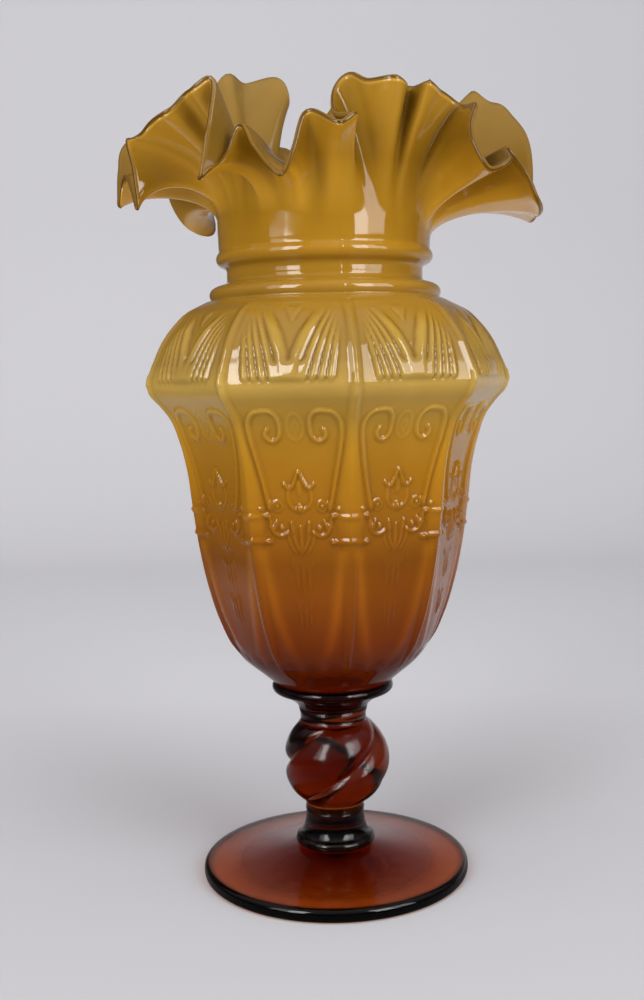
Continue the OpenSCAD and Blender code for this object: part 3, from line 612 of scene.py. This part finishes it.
def knop_points(column, share):
    """Points of the knop in columns that wind up with its lobes."""
    neck = STEM_LOW_R + (STEM_HIGH_R - STEM_LOW_R) * share
    swell = np.maximum(0, np.sin(pi * share)) ** SWELL_POWER
    groove = (1 - np.abs(np.sin(np.radians(column * KNOP_LOBES / 2)))) ** GROOVE_POWER
    turn = (column + KNOP_UNEVEN * np.sin(np.radians(column + KNOP_TURN)) + KNOP_TURN
            + KNOP_TWIST * (share**WIND_POWER - WIND_MIDDLE_SHARE))
    r = neck + (KNOP_R - neck) * swell - KNOP_GROOVE * groove * swell
    return at(turn, r, KNOP_Z + KNOP_H * share) + np.array([1, 0, 0]) * KNOP_SHIFT * swell


def knop_piece():
    columns = 360 * np.arange(KNOP_ROUND) / KNOP_ROUND
    top_h = MERESE_Z - KNOP_TOP_Z

    def neck(r, z, share):
        """Plain ring of the neck, in line with the knop's columns at a share of its height."""
        place = knop_points(columns, share)[:, :2]
        place = place / np.linalg.norm(place, axis=1, keepdims=True) * r
        return np.column_stack([place, np.full(len(columns), z)])

    rings = [neck(STEM_LOW_R * 0.4, STEM_Z, 0), neck(STEM_LOW_R * 1.02, STEM_Z, 0),
             neck(STEM_LOW_R, STEM_Z + STEM_LOW_H * 0.4, 0)]
    rings += [knop_points(columns, s) for s in (1 - np.cos(np.linspace(0, pi, 72))) / 2]
    rings += [neck(STEM_HIGH_R, KNOP_TOP_Z + top_h * 0.5, 1), neck(STEM_TOP_R, MERESE_Z, 1),
              neck(STEM_TOP_R * 0.4, MERESE_Z, 1)]
    return ringed_mesh("knop_glass", rings)


# Materials
def srgb(*values):
    """Linear colour from the 0 to 255 values that a picture shows."""
    linear = [((c / 255 + 0.055) / 1.055) ** 2.4 if c > 10 else c / 255 / 12.92 for c in values]
    return (*linear, 1)


class Nodes:
    """The node tree of a material or of the world, with short calls to add and join nodes."""

    def __init__(self, owner, output="OutputMaterial"):
        owner.use_nodes = True
        self.owner, self.tree = owner, owner.node_tree
        self.tree.nodes.clear()
        self.output = self.add(output)

    def add(self, kind, inputs=None, **settings):
        node = self.tree.nodes.new("ShaderNode" + kind)
        for key, value in settings.items():
            setattr(node, key, value)
        for key, value in (inputs or {}).items():
            if isinstance(value, bpy.types.NodeSocket):
                self.tree.links.new(value, node.inputs[key])
            else:
                node.inputs[key].default_value = value
        return node

    def mark(self, key):
        """Value that the mesh's points carry, 0 where the mesh has none."""
        return self.add("Attribute", attribute_name=key).outputs["Fac"]

    def math(self, operation, a, b=0.0, clamp=False):
        return self.add("Math", {0: a, 1: b}, operation=operation, use_clamp=clamp).outputs[0]

    def mix(self, factor, a, b, blend="MIX"):
        node = self.add("Mix", {0: factor, 6: a, 7: b}, data_type="RGBA", blend_type=blend)
        return node.outputs[2]

    def split(self, place):
        """The x, y and z of a kind of texture coordinate."""
        return self.add("SeparateXYZ", {0: self.add("TexCoord").outputs[place]}).outputs

    def height(self):
        """Height over the surface that the vase stands on, in metres."""
        return self.split("Object")[2]

    def ramp(self, factor, stops):
        """Colour by a factor from 0 to 1: stops are (factor, colour)."""
        node = self.add("ValToRGB", {0: factor})
        ramp = node.color_ramp
        while len(ramp.elements) < len(stops):
            ramp.elements.new(1)
        for element, (place, colour) in zip(ramp.elements, stops):
            element.position, element.color = place, colour
        return node.outputs[0]

    def by_height(self, stops):
        """Colour by height: stops are (height in mm, colour)."""
        low, high = stops[0][0], stops[-1][0]
        share = self.add("MapRange", {0: self.height(), 1: low * MM, 2: high * MM}).outputs[0]
        return self.ramp(share, [((z - low) / (high - low), colour) for z, colour in stops])

    def noise(self, scale, detail=2.0, stretch=(1, 1, 1)):
        """Cloudy value, coarser along an axis where stretch is under 1."""
        place = self.add("TexCoord").outputs["Object"]
        mapped = self.add("Mapping", {0: place, 3: stretch}).outputs[0]
        return self.add("TexNoise", {"Vector": mapped, "Scale": scale, "Detail": detail}).outputs[0]

    def ranged(self, value, low, high, first, last):
        """Value carried from low..high over to first..last, and held at the ends."""
        return self.add("MapRange", {0: value, 1: low, 2: high, 3: first, 4: last}).outputs[0]

    def tinted(self, colour, shares):
        """Colour with its red, green and blue multiplied by shares."""
        return self.mix(1.0, colour, (*shares, 1), "MULTIPLY")

    def waves(self, scale, depth):
        """Slightly wavy surface, as blown glass has."""
        height = self.noise(scale, 1)
        return self.add("Bump", {"Height": height, "Distance": depth, "Strength": 1.0}).outputs[0]

    def surface(self, shader):
        self.tree.links.new(shader, self.output.inputs["Surface"])
        return self.owner


def material(name):
    return Nodes(bpy.data.materials.new(name))


def casing_material():
    """Amber over opal: dark red amber below, honey above, with painted light and shade on the
    relief and under the flare.
    """
    n = material("cased amber glass")
    body = n.by_height([
        (92, srgb(98, 22, 0)), (100, srgb(100, 30, 1)), (108, srgb(96, 36, 4)),
        (118, srgb(110, 47, 6)), (130, srgb(120, 60, 8)), (140, srgb(127, 67, 8)),
        (152, srgb(122, 68, 8)), (160, srgb(134, 80, 10)), (175, srgb(146, 94, 16)),
        (190, srgb(158, 107, 20)), (204, srgb(168, 120, 32)), (216, srgb(176, 136, 52)),
        (226, srgb(180, 147, 72)), (236, srgb(150, 118, 50)), (258, srgb(148, 111, 38)),
        (285, srgb(162, 118, 28)), (318, srgb(120, 84, 13)), (345, srgb(132, 97, 26)),
        (376, srgb(146, 114, 48))])
    cloud = n.noise(24, 3, (1, 1, 0.5))
    body = n.mix(n.ranged(cloud, 0.4, 0.75, 0, 0.5), body, n.tinted(body, (1.16, 1.14, 1.1)))
    body = n.mix(n.ranged(cloud, 0.6, 0.3, 0, 0.5), body, n.tinted(body, (0.86, 0.82, 0.72)))
    # Lighter over the bands, with painted light on the lower shaft and the blades' tops
    bright = n.math("MAXIMUM", n.mark("bright"), 0.0)
    body = n.mix(n.math("MULTIPLY", bright, 0.8), body, n.tinted(body, (1.45, 1.6, 1.4)))
    dark = n.math("MAXIMUM", n.math("MULTIPLY", n.mark("bright"), -1.0), 0.0)
    body = n.mix(n.math("MULTIPLY", dark, 0.6), body, srgb(66, 14, 0))
    # Painted shade in the relief's hollows, strongest on the shoulder's blades
    groove = n.math("MAXIMUM", n.mark("groove"), 0.0)
    hollow_shade_share = n.ranged(n.height(), 222 * MM, 232 * MM, 0.3, 0.75)
    body = n.mix(n.math("MULTIPLY", groove, hollow_shade_share), body, n.tinted(body, (0.55, 0.46, 0.3)))
    # Painted highlight on the relief's crests
    crest = n.math("MAXIMUM", n.math("MULTIPLY", n.mark("groove"), -1.0), 0.0)
    body = n.mix(n.math("MULTIPLY", crest, 0.6), body, n.tinted(body, (1.2, 1.28, 1.5)))
    # Painted light: the flare's faces that look down are made up to about three to four times
    # lighter
    body = n.mix(n.mark("painted_through_light"), body, n.tinted(body, (3.1, 3.3, 4.2)))
    body = n.mix(n.math("MULTIPLY", n.mark("edge"), 0.9), body, srgb(56, 28, 8))
    polish = n.ranged(n.noise(60, 2), 0.3, 0.7, 0.05, 0.10)
    shader = n.add("BsdfPrincipled", {
        "Base Color": body, "Roughness": polish, "IOR": 1.5, "Specular IOR Level": 0.7,
        "Subsurface Weight": 0.12, "Subsurface Radius": (1.0, 0.5, 0.15),
        "Subsurface Scale": 0.004, "Normal": n.waves(34, 0.0008)})
    return n.surface(shader.outputs[0])


def lining_material():
    """Milky opal, with the honey light that comes through the casing."""
    n = material("opal glass lining")
    body = n.by_height([
        (92, srgb(84, 44, 12)), (150, srgb(104, 64, 24)), (230, srgb(120, 84, 30)),
        (290, srgb(120, 84, 24)), (318, srgb(118, 86, 26)), (376, srgb(138, 108, 50))])
    cloud = n.noise(30, 3)
    body = n.mix(n.ranged(cloud, 0.35, 0.75, 0, 0.5), body, n.tinted(body, (1.22, 1.22, 1.2)))
    polish = n.ranged(n.noise(60, 2), 0.3, 0.7, 0.07, 0.14)
    shader = n.add("BsdfPrincipled", {
        "Base Color": body, "Roughness": polish, "IOR": 1.5, "Specular IOR Level": 0.35,
        "Subsurface Weight": 0.12, "Subsurface Radius": (1.0, 0.6, 0.25),
        "Subsurface Scale": 0.004, "Normal": n.waves(34, 0.0008)})
    return n.surface(shader.outputs[0])


def clear_material(name, losses, wave=0.0003, haze=0.1):
    """Clear amber glass, which loses shares of red, green and blue light per millimetre."""
    n = material("clear amber glass, " + name)
    streak = n.noise(40, 3, (1, 1, 0.3))
    tint = n.mix(n.ranged(streak, 0.35, 0.7, 0, 1), (1, 1, 1, 1), (0.93, 0.88, 0.82, 1))
    # Painted shade: the foot's rim is tinted nearly black through its glass
    tint = n.mix(n.mark("edge"), tint, (0.07, 0.05, 0.04, 1))
    polish = n.ranged(n.noise(70, 2), 0.4, 0.7, haze, 1.4 * haze)
    ground = n.math("MULTIPLY", n.mark("ground"), 0.4)
    glass = n.add("BsdfPrincipled", {
        "Base Color": tint, "Specular IOR Level": 0.3, "IOR": 1.45, "Transmission Weight": 1.0,
        "Roughness": n.math("MAXIMUM", polish, ground), "Normal": n.waves(55, wave)})
    # its shadow is tinted light
    passing = n.add("BsdfTransparent", {0: (0.88, 0.62, 0.35, 1)})
    shadow = n.add("LightPath").outputs["Is Shadow Ray"]
    both = n.add("MixShader", {0: shadow, 1: glass.outputs[0], 2: passing.outputs[0]})
    density = max(losses) * 1.04
    kept = [1 - loss / density for loss in losses]
    depth = n.add("VolumeAbsorption", {"Color": (*kept, 1), "Density": density / MM})
    n.tree.links.new(depth.outputs[0], n.output.inputs["Volume"])
    return n.surface(both.outputs[0])


def put(piece, glass, node):
    """Dress a node with its piece."""
    piece.data.materials.append(glass)
    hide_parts(node)
    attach(piece, "root")


put(casing_piece(), casing_material(), "amber_casing")
put(lining_piece(), lining_material(), "opal_lining")
put(foot_piece(), clear_material("foot", (0.045, 0.14, 0.3), 0.0001, 0.05), "foot")
put(collar_piece(), clear_material("collar", (0.09, 0.17, 0.3)), "foot_collar")
put(knop_piece(), clear_material("knop", (0.045, 0.11, 0.2), 0.0003, 0.12), "twisted_knop")
put(merese_piece(), clear_material("merese", (0.07, 0.16, 0.26)), "merese")


# Studio, in metres. The paper lies a hair under the foot and curves up behind the vase.
PAPER_GAP, PAPER_FRONT, PAPER_BACK = 0.0002, -1.4, 0.9
PAPER_BEND, PAPER_TOP, PAPER_HALF_W = 0.5, 2.6, 2.6
# Painted light and shade on the paper, as its tone along the floor and up the backdrop: (metres
# from the vase, tone)
PAPER_TONES = [(-0.1, 0.53), (0.05, 0.545), (0.3, 0.69), (1.2, 0.69), (2.2, 0.67), (2.6, 0.15)]
# The vase mirrors the paper darker ahead of it, aside and above: where that sets in and is full
MIRROR_AHEAD, MIRROR_ASIDE, MIRROR_ABOVE = (0.35, -0.1), (-0.2, -0.5), (0.2, 0.7)


def paper_material():
    n = material("pale paper")
    x, y, z = n.split("Object")
    first, last = PAPER_TONES[0][0], PAPER_TONES[-1][0]
    along = n.ranged(n.math("ADD", y, z), first, last, 0, 1)
    tone = n.ramp(along, [((place - first) / (last - first), (t, 0.99 * t, 1.045 * t, 1))
                          for place, t in PAPER_TONES])
    paper = n.mix(n.ranged(n.noise(3, 4), 0.3, 0.7, 0.0, 0.03), tone, (0.5, 0.5, 0.53, 1))
    # Painted shade: the paper darkens a little towards the right
    paper = n.mix(n.ranged(x, -0.5, 0.5, 0, 0.2), paper, (0.4, 0.4, 0.41, 1))
    ahead = n.ranged(y, *MIRROR_AHEAD, 0, 0.95)
    aside = n.ranged(x, *MIRROR_ASIDE, 0, 0.95)
    above = n.ranged(z, *MIRROR_ABOVE, 0, 0.7)
    dark = n.math("MAXIMUM", above, n.math("MAXIMUM", ahead, aside))
    path = n.add("LightPath").outputs
    mirrored = n.math("SUBTRACT", path["Is Glossy Ray"], path["Is Transmission Ray"], True)
    mirrored = n.math("MULTIPLY", mirrored, dark)
    shader = n.add("BsdfDiffuse", {0: n.mix(mirrored, paper, (0.03, 0.03, 0.03, 1))})
    return n.surface(shader.outputs[0])


def sweep():
    """Pale floor that curves up into a backdrop."""
    bend = [(PAPER_BACK + PAPER_BEND * sin(a), PAPER_BEND - PAPER_BEND * cos(a))
            for a in np.linspace(0, pi / 2, 24)]
    profile = [(PAPER_FRONT, 0), *bend, (PAPER_BACK + PAPER_BEND, PAPER_TOP)]
    points = [(side * PAPER_HALF_W, y, z - PAPER_GAP) for y, z in profile for side in (-1, 1)]
    faces = [(2 * k, 2 * k + 1, 2 * k + 3, 2 * k + 2) for k in range(len(profile) - 1)]
    mesh = bpy.data.meshes.new("sweep")
    mesh.from_pydata(points, [], faces)
    mesh.shade_smooth()
    mesh.materials.append(paper_material())
    floor = bpy.data.objects.new("sweep", mesh)
    bpy.context.scene.collection.objects.link(floor)


# Place on the vase that the lamps are turned to
LIT_PLACE = Vector((0, 0, 0.25))


def window(name, turn, distance, z, width, height, radiance):
    """Soft rectangular light, turned to the vase. Sizes are in metres."""
    light = bpy.data.lights.new(name, "AREA")
    light.shape, light.size, light.size_y = "RECTANGLE", width, height
    light.energy = radiance * pi * width * height
    lamp = bpy.data.objects.new(name, light)
    bpy.context.scene.collection.objects.link(lamp)
    place = Vector(at(turn, distance, z).tolist())
    lamp.location = place
    lamp.rotation_euler = (LIT_PLACE - place).to_track_quat("-Z", "Y").to_euler()
    return lamp


def room():
    """Dim room round the paper: it lights softly, and glass mirrors its darker front."""
    world = bpy.data.worlds.new("room")
    bpy.context.scene.world = world
    n = Nodes(world, "OutputWorld")
    soft = n.add("Background", {0: (1, 0.99, 0.97, 1), 1: 0.55})
    seen = n.add("Background", {0: n.ramp(n.split("Generated")[2], [
        (0.1, (0.015, 0.015, 0.015, 1)), (0.8, (0.34, 0.34, 0.35, 1))])})
    path = n.add("LightPath").outputs
    either = n.math("MAXIMUM", path["Is Glossy Ray"], path["Is Transmission Ray"])
    both = n.add("MixShader", {0: either, 1: soft.outputs[0], 2: seen.outputs[0]})
    n.surface(both.outputs[0])


# The fitted camera: its place in metres, its tilt down and its roll in degrees, and its focal
# length in mm over a frame 36 mm high
EYE, TILT, ROLL, FOCAL, FRAME_H = (-0.0032, -0.5546, 0.2314), 5.96, 1.16, 43.97, 36


def camera():
    """The photograph's view: tilted down a little and rolled by about a degree."""
    lens = bpy.data.cameras.new("camera")
    lens.sensor_fit, lens.sensor_height, lens.lens = "VERTICAL", FRAME_H, FOCAL
    eye = bpy.data.objects.new("camera", lens)
    bpy.context.scene.collection.objects.link(eye)
    eye.location = EYE
    tilt = Euler((pi / 2 - radians(TILT), 0, 0)).to_matrix()
    eye.rotation_euler = (tilt @ Matrix.Rotation(-radians(ROLL), 3, "Z")).to_euler()
    bpy.context.scene.camera = eye


sweep()
window("left window", -34, 1.3, 0.78, 0.36, 0.95, 7.2)
window("left curtain", -49, 1.3, 0.78, 0.40, 0.95, 1.8)
window("right window", 39, 1.3, 0.75, 0.40, 0.9, 6.2)
window("right curtain", 57, 1.3, 0.75, 0.50, 0.9, 3.0)
window("top light", 0, 0.8, 2.1, 1.6, 1.2, 2.1).visible_glossy = False
room()
camera()
bpy.context.scene.view_settings.view_transform = "Standard"
